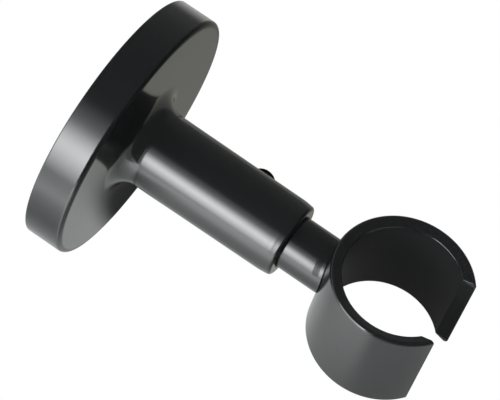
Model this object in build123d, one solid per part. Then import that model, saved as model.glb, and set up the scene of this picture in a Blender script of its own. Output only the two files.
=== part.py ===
from build123d import *
import os

# Ceiling bracket for a slotted curtain pole: a round rose hangs a sleeve, a rod slides in the
# sleeve and carries an open ring that clips round the pole. Sizes are in millimetres. The origin
# is the centre of the face that lies on the ceiling, +Z points up and the pole runs along X.

# Pole and the ring that clips round it
pole_d = 20.0
pole_gap = 0.15
ring_wall = 2.05
ring_width = 19.3
ring_slot = 13.3
ring_edge_r = 0.6
ring_mouth_width = 1.4
ring_mouth_depth = 0.65
ring_mouth_r = 0.2
ring_bore_edge_r = 0.28
ring_slot_corner_r = 0.15

# Rose and sleeve, one die casting
rose_d = 46.2
rose_h = 7.0
rose_rim_wall = 2.4
rose_face_share = 0.35
rose_edge_r = 0.8
rose_foot_r = 0.25
rose_inner_corner_r = 0.6
sleeve_length = 30.8
sleeve_root_d = 14.05
sleeve_tip_d = 13.74
sleeve_root_fillet = 3.5
sleeve_tip_taper = 0.22
sleeve_tip_taper_length = 2.0
sleeve_tip_taper_r = 10.0
sleeve_tip_r = 0.6
sleeve_mouth_chamfer = 0.2

# Rod that slides in the sleeve
rod_d = 9.65
rod_gap = 0.08
rod_reach = 7.3
rod_stop_gap = 0.8
rod_top_gap = 0.5
rod_top_chamfer = 0.6
rod_end_r = 0.12
ring_seat_gap = 0.03

# Plate that is screwed to the ceiling, inside the rose
plate_rim_gap = 0.2
plate_floor_gap = 0.4
plate_chamfer = 0.4
plate_groove_depth = 0.8
plate_hole_d = 4.5
plate_hole_spacing = 24.0
plate_countersink_d = 8.8

# Screws, drawn at their thread's outer diameter
thread_gap = 0.05
tip_gap = 0.05
clamp_screw_d = 4.0
clamp_screw_from_end = 10.45
clamp_screw_proud = 1.05
clamp_screw_chamfer = 0.4
clamp_socket_af = 2.0
clamp_socket_depth = 1.5
lock_screw_d = 3.0
lock_screw_sunk = 0.3
lock_screw_chamfer = 0.3
lock_socket_af = 1.5
lock_socket_depth = 1.4

# Places and sizes that follow from the ones above
rose_r = rose_d / 2
cavity_r = rose_r - rose_rim_wall
cavity_depth = rose_h * (1 - rose_face_share)
plate_r = cavity_r - plate_rim_gap
plate_t = cavity_depth - plate_floor_gap
sleeve_end = rose_h + sleeve_length
rod_r = rod_d / 2
sleeve_bore_r = rod_r + rod_gap
ring_bore_r = pole_d / 2 + pole_gap
ring_r = ring_bore_r + ring_wall
ring_top = sleeve_end + rod_reach
ring_drop = ring_top + ring_r
rod_travel_in = rod_reach - rod_stop_gap
rod_top = plate_t + rod_top_gap + rod_travel_in
clamp_screw_drop = sleeve_end - clamp_screw_from_end
lock_screw_drop = plate_t / 2


def half_section(points, rounded):
    """Face in the XZ plane through (radius, height) points, with some of its corners rounded."""
    outline = Polyline(*[(r, 0, z) for r, z in points], close=True)
    face = make_face(outline)
    for (r, z), radius in rounded:
        corner = face.vertices().sort_by_distance((r, 0, z))[0]
        face = fillet(corner, radius)
    return face


def hex_socket(across_flats, depth):
    """Hexagonal prism with a drilled point, below the plane Z = 0."""
    hexagon = RegularPolygon(across_flats / 2, 6, major_radius=False)
    drill_r = across_flats / 2
    drill = Cone(0, drill_r, drill_r / 2, align=(Align.CENTER, Align.CENTER, Align.MAX))
    return extrude(hexagon, -depth) + Pos(0, 0, -depth) * drill


def facing_back(radius, drop):
    """Place on the stem's +Y side, at a distance from its axis, with its Z pointing outwards."""
    return Pos(0, radius, -drop) * Rot(-90, 0, 0)


def make_bracket_body():
    """Rose and sleeve: a turned section, with tapped holes for the two grub screws."""
    root_r = sleeve_root_d / 2
    tip_r = sleeve_tip_d / 2
    mouth_r = sleeve_bore_r + sleeve_mouth_chamfer
    points = [
        (rose_r, 0),
        (rose_r, -rose_h),
        (root_r, -rose_h),
        (tip_r, -sleeve_end + sleeve_tip_taper_length),
        (tip_r - sleeve_tip_taper, -sleeve_end),
        (mouth_r, -sleeve_end),
        (sleeve_bore_r, -sleeve_end + sleeve_mouth_chamfer),
        (sleeve_bore_r, -cavity_depth),
        (cavity_r, -cavity_depth),
        (cavity_r, 0),
    ]
    rounded = [
        ((rose_r, 0), rose_foot_r),
        ((rose_r, -rose_h), rose_edge_r),
        ((root_r, -rose_h), sleeve_root_fillet),
        ((tip_r, -sleeve_end + sleeve_tip_taper_length), sleeve_tip_taper_r),
        ((tip_r - sleeve_tip_taper, -sleeve_end), sleeve_tip_r),
        ((cavity_r, -cavity_depth), rose_inner_corner_r),
    ]
    body = revolve(half_section(points, rounded), Axis.Z)
    clamp_hole = Cylinder(
        clamp_screw_d / 2 + thread_gap, sleeve_root_d, align=(Align.CENTER, Align.CENTER, Align.MIN)
    )
    lock_hole = Cylinder(
        lock_screw_d / 2 + thread_gap, 2 * rose_rim_wall, align=(Align.CENTER, Align.CENTER, Align.MAX)
    )
    body -= facing_back(0, clamp_screw_drop) * clamp_hole
    body -= facing_back(rose_r + rose_rim_wall / 2, lock_screw_drop) * lock_hole
    return body


def make_mounting_plate():
    """Round plate with a groove in its edge for the lock screw and countersunk fixing holes."""
    points = [
        (0, 0),
        (plate_r - plate_chamfer, 0),
        (plate_r, -plate_chamfer),
        (plate_r, -lock_screw_drop + plate_groove_depth),
        (plate_r - plate_groove_depth, -lock_screw_drop),
        (plate_r, -lock_screw_drop - plate_groove_depth),
        (plate_r, -plate_t + plate_chamfer),
        (plate_r - plate_chamfer, -plate_t),
        (0, -plate_t),
    ]
    plate = revolve(half_section(points, []), Axis.Z)
    hole = Cylinder(plate_hole_d / 2, 2 * plate_t)
    sink_h = (plate_countersink_d - plate_hole_d) / 2
    sink = Cone(
        plate_countersink_d / 2, plate_hole_d / 2, sink_h, align=(Align.CENTER, Align.CENTER, Align.MIN)
    )
    for side in (-1, 1):
        at_hole = Pos(side * plate_hole_spacing / 2, 0, -plate_t)
        plate -= at_hole * (hole + sink)
    return plate


def make_lock_screw():
    """Grub screw with a cone point that bites in the plate's groove and keeps the rose up."""
    outer_end = rose_r - lock_screw_sunk
    groove_bottom = plate_r - plate_groove_depth
    r = lock_screw_d / 2
    point = -(outer_end - groove_bottom - 2 * tip_gap)
    points = [
        (0, 0),
        (r - lock_screw_chamfer, 0),
        (r, -lock_screw_chamfer),
        (r, point + r),
        (0, point),
    ]
    screw = revolve(half_section(points, []), Axis.Z)
    screw -= hex_socket(lock_socket_af, lock_socket_depth)
    return facing_back(outer_end, lock_screw_drop) * screw


def make_clamp_screw():
    """Grub screw with a flat point that presses on the rod and holds its reach."""
    place = clamp_screw_from_end / sleeve_length
    sleeve_r = (sleeve_tip_d + (sleeve_root_d - sleeve_tip_d) * place) / 2
    outer_end = sleeve_r + clamp_screw_proud
    r = clamp_screw_d / 2
    point = -(outer_end - rod_r - tip_gap)
    points = [
        (0, 0),
        (r - clamp_screw_chamfer, 0),
        (r, -clamp_screw_chamfer),
        (r, point + clamp_screw_chamfer),
        (r - clamp_screw_chamfer, point),
        (0, point),
    ]
    screw = revolve(half_section(points, []), Axis.Z)
    screw -= hex_socket(clamp_socket_af, clamp_socket_depth)
    return facing_back(outer_end, clamp_screw_drop) * screw


def make_rod():
    """Round rod whose lower end is hollowed to sit on the ring, where it is brazed on."""
    points = [
        (0, -rod_top),
        (rod_r - rod_top_chamfer, -rod_top),
        (rod_r, -rod_top - rod_top_chamfer),
        (rod_r, -ring_drop),
        (0, -ring_drop),
    ]
    rod = revolve(half_section(points, []), Axis.Z)
    rod -= Pos(0, 0, -ring_drop) * Rot(0, 90, 0) * Cylinder(ring_r + ring_seat_gap, 2 * rod_d)
    saddle_rim = rod.edges().group_by(Axis.Z)[0]
    return fillet(saddle_rim, rod_end_r)


def make_pole_ring():
    """Open ring with dished ends, its slot facing down for what hangs from the pole."""
    end = ring_width / 2
    mouth_end = end - ring_mouth_depth
    mouth_r = ring_bore_r + ring_mouth_width
    points = [
        (ring_r, end),
        (mouth_r, end),
        (ring_bore_r, mouth_end),
        (ring_bore_r, -mouth_end),
        (mouth_r, -end),
        (ring_r, -end),
    ]
    rounded = []
    for side in (-1, 1):
        rounded += [
            ((ring_r, side * end), ring_edge_r),
            ((mouth_r, side * end), ring_mouth_r),
            ((ring_bore_r, side * mouth_end), ring_bore_edge_r),
        ]
    ring = revolve(half_section(points, rounded), Axis.Z)
    ring -= Pos(ring_r, 0, 0) * Box(2 * ring_r, ring_slot, 2 * ring_width)
    slot_ends = ring.faces().filter_by(Axis.Y)
    ring = fillet(slot_ends.edges(), ring_slot_corner_r)
    return Pos(0, 0, -ring_drop) * Rot(0, 90, 0) * ring


pieces = {
    "mounting_plate": make_mounting_plate,
    "bracket_body": make_bracket_body,
    "lock_screw": make_lock_screw,
    "clamp_screw": make_clamp_screw,
    "rod": make_rod,
    "pole_ring": make_pole_ring,
}
os.makedirs("parts", exist_ok=True)
for node, make in pieces.items():
    export_step(make(), f"parts/{node}.step")
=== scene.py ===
import math

import bpy
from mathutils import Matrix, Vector


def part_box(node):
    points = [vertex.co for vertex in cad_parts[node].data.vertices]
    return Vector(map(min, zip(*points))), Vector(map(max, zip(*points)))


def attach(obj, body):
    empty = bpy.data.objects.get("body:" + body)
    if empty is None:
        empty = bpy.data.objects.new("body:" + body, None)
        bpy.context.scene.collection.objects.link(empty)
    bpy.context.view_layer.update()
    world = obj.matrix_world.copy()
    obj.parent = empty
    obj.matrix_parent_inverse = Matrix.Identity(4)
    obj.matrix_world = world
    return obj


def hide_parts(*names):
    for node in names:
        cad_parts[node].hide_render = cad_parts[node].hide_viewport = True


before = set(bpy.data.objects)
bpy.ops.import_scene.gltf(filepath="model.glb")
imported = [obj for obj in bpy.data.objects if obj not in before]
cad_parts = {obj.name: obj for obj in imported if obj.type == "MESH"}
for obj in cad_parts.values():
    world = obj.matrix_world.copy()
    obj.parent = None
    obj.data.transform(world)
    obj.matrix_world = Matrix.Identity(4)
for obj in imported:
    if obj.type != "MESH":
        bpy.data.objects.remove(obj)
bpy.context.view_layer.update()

# Mounting plate: a round steel plate, turned and then zinc plated. It is screwed to the ceiling
# first, through its two countersunk holes, and the rose goes over it and hides it.
zinc_grey = (0.46, 0.47, 0.48, 1.0)
zinc_pale = (0.62, 0.62, 0.60, 1.0)
zinc_roughness = (0.26, 0.42)
zinc_blotch_scale = 180.0
turning_mark_scale = 1400.0
turning_mark_depth = 0.00002


def new_finish(name):
    """An empty node material, with its tree, its shader and the socket for places on the piece."""
    finish = bpy.data.materials.new(name)
    finish.use_nodes = True
    tree = finish.node_tree
    place = tree.nodes.new("ShaderNodeTexCoord").outputs["Object"]
    return finish, tree, tree.nodes["Principled BSDF"], place


def add_node(tree, kind, **settings):
    """A node of that kind, with its settings, and a value or a socket for each input that is named."""
    node = tree.nodes.new(kind)
    for key, value in settings.items():
        if hasattr(node, key):
            setattr(node, key, value)
        elif isinstance(value, bpy.types.NodeSocket):
            tree.links.new(value, node.inputs[key])
        else:
            node.inputs[key].default_value = value
    return node


def noise(tree, place, scale, detail):
    """A soft noise over a piece, from 0 to 1."""
    return add_node(tree, "ShaderNodeTexNoise", Vector=place, Scale=scale, Detail=detail).outputs["Fac"]


def two_tone(tree, source, first, second):
    """A colour that goes from the first to the second while its source goes from 0 to 1."""
    ramp = add_node(tree, "ShaderNodeValToRGB", Fac=source)
    ramp.color_ramp.elements[0].color = first
    ramp.color_ramp.elements[1].color = second
    return ramp.outputs["Color"]


def fade(tree, source, span, values, kind="SMOOTHSTEP"):
    """A socket that goes from the first to the second of its values while its source crosses a span."""
    ramp = add_node(tree, "ShaderNodeMapRange", interpolation_type=kind, Value=source)
    for key, value in zip(("From Min", "From Max", "To Min", "To Max"), (*span, *values)):
        ramp.inputs[key].default_value = value
    return ramp.outputs["Result"]


def paint(node, finish):
    """Gives one CAD node a finish, in all its material slots."""
    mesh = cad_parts[node].data
    mesh.materials.clear()
    mesh.materials.append(finish)


zinc, tree, shader, place = new_finish("zinc_plating")
blotch = noise(tree, place, zinc_blotch_scale, 3.0)
turning = add_node(tree, "ShaderNodeTexWave", wave_type="RINGS", rings_direction="Z", Vector=place)
turning.inputs["Scale"].default_value = turning_mark_scale
turning.inputs["Distortion"].default_value = 1.5
groove = add_node(
    tree, "ShaderNodeBump", Strength=0.25, Distance=turning_mark_depth, Height=turning.outputs["Fac"]
)
dull = fade(tree, blotch, (0.0, 1.0), zinc_roughness, "LINEAR")
tree.links.new(two_tone(tree, blotch, zinc_grey, zinc_pale), shader.inputs["Base Color"])
tree.links.new(dull, shader.inputs["Roughness"])
tree.links.new(groove.outputs["Normal"], shader.inputs["Normal"])
shader.inputs["Metallic"].default_value = 1.0
paint("mounting_plate", zinc)

# Rose and sleeve: one zinc die casting, turned, tapped on its back for two grub screws, and lacquered
# satin black. The lacquer builds up a little towards the sleeve's end. The sleeve's end and the rose's
# front edge are given less shine: painted shade, which keeps them dark.
lacquer_black = (0.0050, 0.0053, 0.0057, 1.0)
lacquer_grey = (0.0072, 0.0076, 0.0081, 1.0)
lacquer_roughness = (0.13, 0.18)
lacquer_shine = 0.5
lacquer_cloud_scale = 140.0
peel_scale = 900.0
peel_depth = 0.00001
sleeve_end = -0.0378
bead_heights = (sleeve_end + 0.0026, sleeve_end - 0.0006)
bead_depth = 0.00018
# Painted shade: the shine drops towards the sleeve's end and stays low on its end face.
end_shade_heights = (sleeve_end + 0.0006, sleeve_end + 0.0002)
end_shade_shine = 0.15
# Painted shade on the rose's front edge: most of its shine is taken off, so that it renders dark.
front_edge_radii = (0.0219, 0.0223)
front_edge_heights = (-0.0063, -0.0067)
front_edge_shade = 0.8


def lacquer_coat(name):
    """Satin black lacquer with faint clouds and orange peel, given as new_finish gives a material."""
    finish, tree, shader, place = new_finish(name)
    cloud = noise(tree, place, lacquer_cloud_scale, 2.0)
    peel = noise(tree, place, peel_scale, 2.0)
    satin = fade(tree, cloud, (0.0, 1.0), lacquer_roughness, "LINEAR")
    skin = add_node(tree, "ShaderNodeBump", Strength=0.1, Distance=peel_depth, Height=peel)
    tree.links.new(two_tone(tree, cloud, lacquer_black, lacquer_grey), shader.inputs["Base Color"])
    tree.links.new(satin, shader.inputs["Roughness"])
    tree.links.new(skin.outputs["Normal"], shader.inputs["Normal"])
    return finish, tree, shader, place


def thicken(tree, shader, height, depth):
    """Lays a film of uneven height over the skin that the lacquer has already."""
    skin = shader.inputs["Normal"].links[0].from_socket
    film = add_node(tree, "ShaderNodeBump", Strength=1.0, Distance=depth, Height=height, Normal=skin)
    tree.links.new(film.outputs["Normal"], shader.inputs["Normal"])


def axes_of(tree, place):
    """The X, Y and Z sockets of places on a piece."""
    return add_node(tree, "ShaderNodeSeparateXYZ", Vector=place).outputs


def off_line(tree, place, point, across):
    """How far places are from a line through a point; across is 0 along the line and 1 across it."""
    flat = add_node(tree, "ShaderNodeVectorMath", operation="MULTIPLY")
    flat.inputs[1].default_value = across
    away = add_node(tree, "ShaderNodeVectorMath", operation="DISTANCE")
    away.inputs[1].default_value = point
    tree.links.new(place, flat.inputs[0])
    tree.links.new(flat.outputs["Vector"], away.inputs[0])
    return away.outputs["Value"]


def joined(tree, operation, first, second):
    """The sum, product or other join of two sockets, or of a socket and a number."""
    node = add_node(tree, "ShaderNodeMath", operation=operation)
    tree.links.new(first, node.inputs[0])
    if isinstance(second, float):
        node.inputs[1].default_value = second
    else:
        tree.links.new(second, node.inputs[1])
    return node.outputs["Value"]


lacquer, tree, shader, place = lacquer_coat("black_lacquer")
axes = axes_of(tree, place)
thicken(tree, shader, fade(tree, axes["Z"], bead_heights, (0.0, 1.0)), bead_depth)
# Painted shade on the rose's front edge: its shine is lowered there.
off_stem = off_line(tree, place, (0.0, 0.0, 0.0), (1.0, 1.0, 0.0))
at_radius = fade(tree, off_stem, front_edge_radii, (0.0, front_edge_shade))
at_height = fade(tree, axes["Z"], front_edge_heights, (0.0, 1.0))
painted_edge_shade = joined(tree, "MULTIPLY", at_radius, at_height)
shine_under_edge_shade = fade(tree, painted_edge_shade, (0.0, 1.0), (1.0, 0.0), "LINEAR")
# Painted shade at the sleeve's end: its shine is lowered there.
shine_under_end_shade = fade(tree, axes["Z"], end_shade_heights, (lacquer_shine, end_shade_shine), "LINEAR")
tree.links.new(joined(tree, "MULTIPLY", shine_under_end_shade, shine_under_edge_shade), shader.inputs["Specular IOR Level"])
paint("bracket_body", lacquer)

# Rod: a round steel rod that slides in the sleeve, its end hollowed to the ring and brazed on. The
# lacquer thins out and then pools in the corner where the rod meets the ring.
ring_drop = 0.0573
ring_r = 0.0122
corner_radii = (ring_r, ring_r + 0.002)
film_heights = ((0.0, 1.0), (0.05, 0.97), (0.32, 0.08), (0.42, 0.03), (0.85, 0.85), (1.0, 0.9))
film_depth = 0.00006
rod_shine = 0.46


def off_ring_axis(tree, place):
    """How far places are from the axis of the pole ring."""
    return off_line(tree, place, (0.0, 0.0, -ring_drop), (0.0, 1.0, 1.0))


rod_lacquer, tree, shader, place = lacquer_coat("rod_lacquer")
corner = fade(tree, off_ring_axis(tree, place), corner_radii, (0.0, 1.0), "LINEAR")
film = add_node(tree, "ShaderNodeValToRGB", Fac=corner)
film.color_ramp.interpolation = "B_SPLINE"
while len(film.color_ramp.elements) < len(film_heights):
    film.color_ramp.elements.new(0.5)
for element, (spot, level) in zip(film.color_ramp.elements, film_heights):
    element.position = spot
    element.color = (level, level, level, 1.0)
thicken(tree, shader, film.outputs["Color"], film_depth)
shader.inputs["Specular IOR Level"].default_value = rod_shine
paint("rod", rod_lacquer)

# Pole ring: an open ring cut from steel tube, brazed to the rod. Its bore and the ends of its slot
# have less shine and more roughness, a painted shade that keeps them dark; the rest has the full lacquer.
# Painted shade: where the bore and the slot ends lose their shine.
bore_radii = (0.01020, 0.01040)
bore_half_length = 0.0088
slot_half_widths = (0.00666, 0.00678)
bore_shade_shine = 0.11
bore_shade_roughness = 0.6


def size_of(tree, source):
    """A socket's value without its sign."""
    return add_node(tree, "ShaderNodeMath", operation="ABSOLUTE", Value=source).outputs["Value"]


ring_lacquer, tree, shader, place = lacquer_coat("ring_lacquer")
axes = axes_of(tree, place)
bore = fade(tree, off_ring_axis(tree, place), bore_radii, (1.0, 0.0), "LINEAR")
slot = fade(tree, size_of(tree, axes["Y"]), slot_half_widths, (1.0, 0.0), "LINEAR")
low_side = joined(tree, "LESS_THAN", axes["Z"], -ring_drop)
slot_end = joined(tree, "MULTIPLY", slot, low_side)
inside = joined(tree, "LESS_THAN", size_of(tree, axes["X"]), bore_half_length)
# Painted shade over the bore and the slot ends, inside the ring's length.
bore_shade = joined(tree, "MULTIPLY", joined(tree, "MAXIMUM", bore, slot_end), inside)
shine = fade(tree, bore_shade, (0.0, 1.0), (lacquer_shine, bore_shade_shine), "LINEAR")
satin = shader.inputs["Roughness"].links[0].from_socket
rough = add_node(tree, "ShaderNodeMix")
rough.inputs[3].default_value = bore_shade_roughness
tree.links.new(bore_shade, rough.inputs[0])
tree.links.new(satin, rough.inputs[2])
tree.links.new(rough.outputs[0], shader.inputs["Roughness"])
tree.links.new(shine, shader.inputs["Specular IOR Level"])
paint("pole_ring", ring_lacquer)

# Grub screws: two hardened steel screws with rolled threads and hexagon sockets, black from an oxide
# bath. One clamps the rod through the sleeve; the other has a cone point and keeps the rose on its
# plate.
oxide_black = (0.035, 0.035, 0.037, 1.0)
oxide_grey = (0.075, 0.073, 0.071, 1.0)
oxide_cloud_scale = 900.0
blackened, tree, shader, place = new_finish("black_oxide")
cloud = noise(tree, place, oxide_cloud_scale, 3.0)
tree.links.new(two_tone(tree, cloud, oxide_black, oxide_grey), shader.inputs["Base Color"])
shader.inputs["Metallic"].default_value = 0.8
shader.inputs["Roughness"].default_value = 0.42

lathe_steps = 72
thread_depth_in_pitches = 0.6134
thread_crest_in_pitches = (0.3125, 0.4375)
thread_foot_in_pitches = 0.75
smooth_up_to = math.radians(30.0)
seam_turn = math.radians(7.0)


def turned(profile, steps, rise=0.0, turns=1):
    """A body turned round Y from (radius, Y) points, or a helix of them if each turn has a rise."""
    bpy.ops.object.select_all(action="DESELECT")
    bpy.ops.mesh.primitive_plane_add(size=0.001)
    piece = bpy.context.object
    bpy.ops.object.mode_set(mode="EDIT")
    bpy.ops.mesh.select_all(action="SELECT")
    bpy.ops.mesh.merge(type="CENTER")
    bpy.ops.transform.translate(value=(*profile[0], 0.0))
    for (r, y), (next_r, next_y) in zip(profile, profile[1:]):
        step = (next_r - r, next_y - y, 0.0)
        bpy.ops.mesh.extrude_region_move(TRANSFORM_OT_translate={"value": step})
    bpy.ops.object.mode_set(mode="OBJECT")
    lathe = piece.modifiers.new("lathe", "SCREW")
    lathe.axis = "Y"
    lathe.steps = steps
    lathe.render_steps = steps
    lathe.screw_offset = rise
    lathe.iterations = turns
    bpy.ops.object.modifier_apply(modifier="lathe")
    bpy.ops.object.mode_set(mode="EDIT")
    bpy.ops.mesh.select_all(action="SELECT")
    bpy.ops.mesh.remove_doubles(threshold=1e-7)
    bpy.ops.mesh.normals_make_consistent(inside=False)
    bpy.ops.object.mode_set(mode="OBJECT")
    return piece


def sawn_off(end, outwards):
    """Saws the piece at hand off square to Y at one end, and closes the cut."""
    bpy.ops.object.mode_set(mode="EDIT")
    bpy.ops.mesh.select_all(action="SELECT")
    bpy.ops.mesh.bisect(
        plane_co=(0.0, end, 0.0),
        plane_no=(0.0, outwards, 0.0),
        use_fill=True,
        clear_outer=True,
        threshold=1e-8,
    )
    bpy.ops.object.mode_set(mode="OBJECT")


def shaped(piece, tool, operation):
    """Keeps what a piece shares with a tool, or cuts the tool out of it, and removes the tool."""
    tool.rotation_euler.y = seam_turn
    fit = piece.modifiers.new("fit", "BOOLEAN")
    fit.operation = operation
    fit.solver = "EXACT"
    fit.object = tool
    bpy.ops.object.select_all(action="DESELECT")
    piece.select_set(True)
    bpy.context.view_layer.objects.active = piece
    bpy.ops.object.modifier_apply(modifier="fit")
    bpy.data.objects.remove(tool)
    bpy.ops.object.mode_set(mode="EDIT")
    bpy.ops.mesh.select_all(action="SELECT")
    bpy.ops.mesh.remove_doubles(threshold=1e-6)
    bpy.ops.mesh.dissolve_degenerate(threshold=1e-6)
    bpy.ops.object.mode_set(mode="OBJECT")


def grub_screw(node, pitch, chamfer, point_r, socket_af, socket_depth):
    """A threaded grub screw in the place of a CAD screw, its socket facing out along Y."""
    inner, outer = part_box(node)
    length = outer[1] - inner[1]
    crest_r = (outer[0] - inner[0]) / 2
    root_r = crest_r - thread_depth_in_pitches * pitch
    start = -length - pitch / 2
    ridge = [(root_r, start)]
    ridge += [(crest_r, start - share * pitch) for share in thread_crest_in_pitches]
    ridge += [(root_r, start - thread_foot_in_pitches * pitch), (root_r, start - pitch)]
    screw = turned(ridge, lathe_steps, pitch, math.ceil(length / pitch) + 3)
    sawn_off(0.0, 1.0)
    sawn_off(-length, -1.0)
    room = 0.0002
    blank_r = crest_r + room
    blank = [(0.0, room), (crest_r - chamfer - room, room), (blank_r, -chamfer - room)]
    blank.append((blank_r, blank_r - point_r - length))
    if point_r > 0.0:
        blank += [(point_r - room, -length - room), (0.0, -length - room)]
    else:
        blank.append((0.0, -length))
    shaped(screw, turned(blank, lathe_steps), "INTERSECT")
    hex_r = socket_af / math.sqrt(3.0)
    flare = 0.0001
    socket = [(0.0, flare), (hex_r + 2 * flare, flare), (hex_r, -flare)]
    socket += [(hex_r, -socket_depth), (0.0, -socket_depth - socket_af / 4)]
    shaped(screw, turned(socket, 6), "DIFFERENCE")
    bpy.ops.object.mode_set(mode="EDIT")
    bpy.ops.mesh.select_all(action="SELECT")
    bpy.ops.transform.translate(value=(0.0, outer[1], (inner[2] + outer[2]) / 2))
    bpy.ops.object.mode_set(mode="OBJECT")
    bpy.ops.object.shade_smooth_by_angle(angle=smooth_up_to)
    screw.name = node + "_threaded"
    screw.data.materials.append(blackened)
    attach(screw, node)
    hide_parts(node)


grub_screw(
    "clamp_screw", pitch=0.0007, chamfer=0.0004, point_r=0.0016, socket_af=0.0020, socket_depth=0.0015
)
grub_screw(
    "lock_screw", pitch=0.0005, chamfer=0.0003, point_r=0.0, socket_af=0.0015, socket_depth=0.0014
)

# Floor: a plain pale studio floor, well below the bracket, which hangs as it does under a ceiling.
# It glows for the camera and in mirrors, and from below it is clear, so that it hides nothing.
floor_drop = 0.16
floor_size = 12.0
floor_grey = (0.78, 0.78, 0.78, 1.0)
floor_pale = (0.82, 0.82, 0.82, 1.0)
floor_glow = 0.62
floor_glow_for_camera = 0.1
bpy.ops.object.select_all(action="DESELECT")
bpy.ops.mesh.primitive_plane_add(size=floor_size, location=(0.0, 0.0, -floor_drop))
floor = bpy.context.object
floor.name = "floor"


def shown(tree):
    """1 for rays that go to the camera, straight, mirrored or through glass, and 0 for light."""
    ray = add_node(tree, "ShaderNodeLightPath").outputs
    seen = joined(tree, "MAXIMUM", ray["Is Camera Ray"], ray["Is Glossy Ray"])
    return joined(tree, "MAXIMUM", seen, ray["Is Transmission Ray"])


def pick(tree, share, first, second):
    """The first of two shaders where the share is 0, and the second where it is 1."""
    mix = add_node(tree, "ShaderNodeMixShader", Fac=share)
    tree.links.new(first, mix.inputs[1])
    tree.links.new(second, mix.inputs[2])
    return mix.outputs["Shader"]


pale, tree, shader, place = new_finish("pale_floor")
grain = noise(tree, place, 6.0, 2.0)
tree.links.new(two_tone(tree, grain, floor_grey, floor_pale), shader.inputs["Base Color"])
shader.inputs["Roughness"].default_value = 0.9
shader.inputs["Emission Color"].default_value = (1.0, 1.0, 1.0, 1.0)
ray = add_node(tree, "ShaderNodeLightPath").outputs
for_camera = joined(tree, "MULTIPLY", ray["Is Camera Ray"], floor_glow_for_camera)
glow = joined(tree, "ADD", joined(tree, "MULTIPLY", shown(tree), floor_glow), for_camera)
tree.links.new(glow, shader.inputs["Emission Strength"])
from_below = add_node(tree, "ShaderNodeNewGeometry").outputs["Backfacing"]
clear = add_node(tree, "ShaderNodeBsdfTransparent").outputs["BSDF"]
surface = pick(tree, from_below, shader.outputs["BSDF"], clear)
tree.links.new(surface, tree.nodes["Material Output"].inputs["Surface"])
floor.data.materials.append(pale)

# Dark cloth: it hangs round the camera's side of the studio, lies on the floor below it and under
# the bracket. Only reflections see it: it has no colour and only glows, a dim painted light that grows
# towards +Y, and it keeps the lacquer black on that side.
cloth_r = 1.6
cloth_tall = 2.4
cloth_z = 0.002 - floor_drop
cloth_under_r = 0.1
cloth_under_lift = 0.001
hanging_bearings = (-46.0, 113.0)
lying_bearings = (-100.0, 133.0)
cloth_tint = (0.97, 0.99, 1.0, 1.0)
cloth_glow = (0.17, 0.26)
cloth_glow_span = (0.5, 1.4)
unlit = (0.0, 0.0, 0.0, 1.0)


def only_glows(shader):
    """Leaves a shader nothing but its own glow."""
    shader.inputs["Base Color"].default_value = unlit
    shader.inputs["Specular IOR Level"].default_value = 0.0


def only_reflected(piece):
    """Makes a piece of the studio show in reflections alone."""
    piece.visible_camera = False
    piece.visible_diffuse = False
    piece.visible_shadow = False


bpy.ops.object.select_all(action="DESELECT")
bpy.ops.mesh.primitive_cylinder_add(
    vertices=180,
    radius=cloth_r,
    depth=cloth_tall,
    end_fill_type="NOTHING",
    location=(0.0, 0.0, cloth_tall / 2 + cloth_z),
)
hanging = bpy.context.object
bpy.ops.mesh.primitive_circle_add(
    vertices=180, radius=cloth_r, fill_type="TRIFAN", location=(0.0, 0.0, cloth_z)
)
lying = bpy.context.object
bpy.ops.mesh.primitive_circle_add(
    vertices=48, radius=cloth_under_r, fill_type="TRIFAN", location=(0.0, 0.0, cloth_z + cloth_under_lift)
)
under = bpy.context.object
for piece, (first, last) in ((hanging, hanging_bearings), (lying, lying_bearings)):
    bpy.ops.object.select_all(action="DESELECT")
    piece.select_set(True)
    bpy.context.view_layer.objects.active = piece
    bpy.ops.object.transform_apply(location=True)
    bpy.ops.object.mode_set(mode="EDIT")
    bpy.ops.mesh.select_all(action="DESELECT")
    bpy.ops.object.mode_set(mode="OBJECT")
    for face in piece.data.polygons:
        bearing = math.degrees(math.atan2(face.center.y, face.center.x))
        face.select = not first < bearing < last
    bpy.ops.object.mode_set(mode="EDIT")
    bpy.ops.mesh.delete(type="FACE")
    bpy.ops.object.mode_set(mode="OBJECT")
dark, tree, shader, place = new_finish("dark_cloth")
only_glows(shader)
shader.inputs["Emission Color"].default_value = cloth_tint
glow = fade(tree, axes_of(tree, place)["Y"], cloth_glow_span, cloth_glow, "LINEAR")
tree.links.new(glow, shader.inputs["Emission Strength"])
for name, cloth in (("cloth_hanging", hanging), ("cloth_lying", lying), ("cloth_under", under)):
    cloth.name = name
    cloth.data.materials.append(dark)
    only_reflected(cloth)

# Glowing board: a board close behind the bracket that only reflections see. It is not lit but glows,
# with painted light towards the soft box's side and painted soft shadows by the rose and the ring.
board_faces = Vector((0.979, -0.064, 0.192)).normalized()
board_gap = 0.0250
board_size = 1.2
side_light_power = 1.2
side_light_most = 3.8
next_to_box_most = 2.6
past_stem_most = 0.34
rose_edge_slope = (0.0, 0.17, 1.0)
# Painted soft shadows on the board's glow, round the places where the rose and the ring come near it.
rose_shadow = {"place": (0.0, 0.0032, -0.0062), "radii": (0.0034, 0.0090), "kept": 0.1}
ring_shadow = {"place": (0.0, -0.0040, -0.0712), "radii": (0.0, 0.0240), "kept": 0.6}
# Painted shade: seen after two mirrorings, the board glows at 0.3 of its strength.
kept_when_mirrored_twice = 0.3
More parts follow.
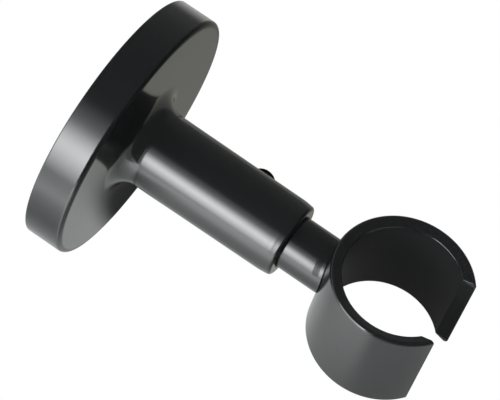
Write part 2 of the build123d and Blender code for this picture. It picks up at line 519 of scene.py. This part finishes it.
# Painted tint of the board's glow: cool next to the stem, warm and then plain further towards +Y.
board_cool = (0.965, 1.0, 1.0, 1.0)
board_warm = (1.0, 1.015, 0.91, 1.0)
board_plain = (1.0, 1.0, 0.99, 1.0)
bpy.ops.object.select_all(action="DESELECT")
bpy.ops.mesh.primitive_plane_add(
    size=board_size,
    location=board_faces * -board_gap,
    rotation=board_faces.to_track_quat("Z", "Y").to_euler(),
)
board = bpy.context.object
board.name = "glowing_board"
bpy.ops.object.transform_apply(location=True, rotation=True)
only_reflected(board)
painted_glow_board, tree, shader, place = new_finish("painted_glow_board")
only_glows(shader)
axes = axes_of(tree, place)
slope = add_node(tree, "ShaderNodeVectorMath", operation="DOT_PRODUCT")
slope.inputs[1].default_value = rose_edge_slope
tree.links.new(place, slope.inputs[0])
below_rose = slope.outputs["Value"]


def product(tree, first, *others):
    """The product of several sockets."""
    for other in others:
        first = joined(tree, "MULTIPLY", first, other)
    return first


# The board's painted light: brightest towards the soft box's side, dimmer next to the rose and the ring.
beside_rose = fade(tree, axes["Z"], (-0.012, 0.0), (0.0, 0.026))
to_box = joined(tree, "ADD", axes["Y"], beside_rose)
to_box = fade(tree, to_box, (-0.0105, -0.073), (0.0, 1.0), "LINEAR")
to_box = joined(tree, "POWER", to_box, side_light_power)
above_foot = fade(tree, axes["Z"], (-0.0633, -0.0546), (0.0, side_light_most))
less_by_rose = fade(tree, below_rose, (-0.010, -0.004), (1.0, 0.8))
less_far_out = fade(tree, axes["Y"], (-0.10, -0.24), (1.0, 0.75))
side_light = product(tree, to_box, above_foot, less_by_rose, less_far_out)
even_light = fade(tree, axes["Y"], (-0.0057, 0.017), (0.9, 0.455), "LINEAR")
beside_ring = fade(tree, axes["Z"], (-0.029, -0.037), (0.82, 0.97))
far_side = fade(tree, axes["Y"], (0.07, 0.16), (1.0, 0.52))
light = joined(tree, "ADD", side_light, product(tree, even_light, beside_ring, far_side))
next_to_box = fade(tree, axes["Y"], (-0.10, -0.25), (0.0, next_to_box_most))
beside_stem = fade(tree, below_rose, (-0.006, -0.013), (0.0, 1.0))
light = joined(tree, "ADD", light, product(tree, next_to_box, beside_stem))
past_stem = fade(tree, axes["Y"], (0.030, 0.065), (0.0, past_stem_most))
not_far_past = fade(tree, axes["Y"], (0.07, 0.20), (1.0, 0.1))
above_rose = fade(tree, axes["Z"], (-0.004, 0.010), (0.0, 1.0))
light = joined(tree, "ADD", light, product(tree, past_stem, not_far_past, above_rose))
# Painted shadows: the glow is dimmed round the rose and the ring.
for shadow in (rose_shadow, ring_shadow):
    away = off_line(tree, place, shadow["place"], (0.0, 1.0, 1.0))
    light = product(tree, light, fade(tree, away, shadow["radii"], (shadow["kept"], 1.0)))
# Painted shade in reflections of reflections.
depth = add_node(tree, "ShaderNodeLightPath").outputs["Ray Depth"]
light = product(tree, light, fade(tree, depth, (1.0, 2.0), (1.0, kept_when_mirrored_twice), "LINEAR"))
tree.links.new(light, shader.inputs["Emission Strength"])
to_side = fade(tree, axes["Y"], (-0.002, 0.078), (0.0, 1.0), "LINEAR")
tint = add_node(tree, "ShaderNodeValToRGB", Fac=to_side)
tint.color_ramp.interpolation = "EASE"
tint.color_ramp.elements[0].color = board_cool
tint.color_ramp.elements[1].color = board_plain
for spot in (0.2, 0.5):
    tint.color_ramp.elements.new(spot).color = board_warm
tree.links.new(tint.outputs["Color"], shader.inputs["Emission Color"])
board.data.materials.append(painted_glow_board)

# Soft box: one large soft box that stands at the lower left of the photograph, brightest along its
# middle and near its foot. It lights the bracket and draws the streak along the stem.
box_bearing = math.radians(-72.0)
box_away = 1.2
box_foot = -0.03
box_wide = 2.46
box_tall = 1.3
box_tint = (0.975, 0.99, 1.0, 1.0)
box_core_most = 13.5
box_spill_most = 4.5
box_least = 0.19
bpy.ops.object.select_all(action="DESELECT")
bpy.ops.mesh.primitive_plane_add(
    size=1.0,
    location=(box_away * math.cos(box_bearing), box_away * math.sin(box_bearing), box_foot),
    rotation=(math.pi / 2, 0.0, box_bearing - math.pi / 2),
)
soft_box = bpy.context.object
soft_box.name = "soft_box"
bpy.ops.object.mode_set(mode="EDIT")
bpy.ops.mesh.select_all(action="SELECT")
bpy.ops.transform.translate(value=(0.0, 0.5, 0.0), orient_type="LOCAL")
bpy.ops.object.mode_set(mode="OBJECT")
soft_box.scale = (box_wide, box_tall, 1.0)
bpy.ops.object.transform_apply(location=False, rotation=False, scale=True)
soft_box.visible_camera = False
soft_box.visible_shadow = False
diffuser, tree, shader, place = new_finish("soft_box_diffuser")
only_glows(shader)
shader.inputs["Emission Color"].default_value = box_tint
axes = axes_of(tree, place)
left_of_middle = fade(tree, axes["X"], (-0.58, 0.0), (0.0, box_core_most))
right_of_middle = fade(tree, axes["X"], (0.62, 0.0), (0.0, box_core_most), "LINEAR")
core = joined(tree, "MINIMUM", left_of_middle, right_of_middle)
spill = fade(tree, size_of(tree, axes["X"]), (box_wide / 2, 0.0), (0.0, box_spill_most))
above_foot = fade(tree, axes["Y"], (0.042, 0.115), (0.0, 1.0))
to_head = fade(tree, axes["Y"], (0.17, 0.437), (1.0, 0.58), "LINEAR")
glow = product(tree, joined(tree, "ADD", core, spill), above_foot, to_head)
tree.links.new(joined(tree, "ADD", glow, box_least), shader.inputs["Emission Strength"])
soft_box.data.materials.append(diffuser)

# White surround: white walls all round, as the camera and the lacquer see them. For the light that
# they give, they are a plain even fill.
white_light = (1.0, 1.0, 1.0, 1.0)
fill_strength = 0.4
surround = bpy.data.worlds.new("white_surround")
bpy.context.scene.world = surround
surround.use_nodes = True
tree = surround.node_tree
walls = tree.nodes["Background"]
walls.inputs["Color"].default_value = white_light
walls.inputs["Strength"].default_value = 1.0
fill = add_node(tree, "ShaderNodeBackground", Color=white_light, Strength=fill_strength)
surface = pick(tree, shown(tree), fill.outputs["Background"], walls.outputs["Background"])
tree.links.new(surface, tree.nodes["World Output"].inputs["Surface"])

# Camera: the photograph's view, with a long lens, a little below the bracket, turned so that the
# stem runs from the upper left down to the ring at the lower right.
camera_place = (0.37298, -0.23584, -0.09683)
camera_turn = (math.radians(105.538), math.radians(54.871), math.radians(70.271))
bpy.ops.object.camera_add(location=camera_place, rotation=camera_turn)
camera = bpy.context.object
camera.name = "photo_camera"
camera.data.sensor_width = 36.0
camera.data.lens = 193.86
camera.data.clip_start = 0.01
bpy.context.scene.camera = camera
bpy.context.scene.view_settings.view_transform = "Standard"
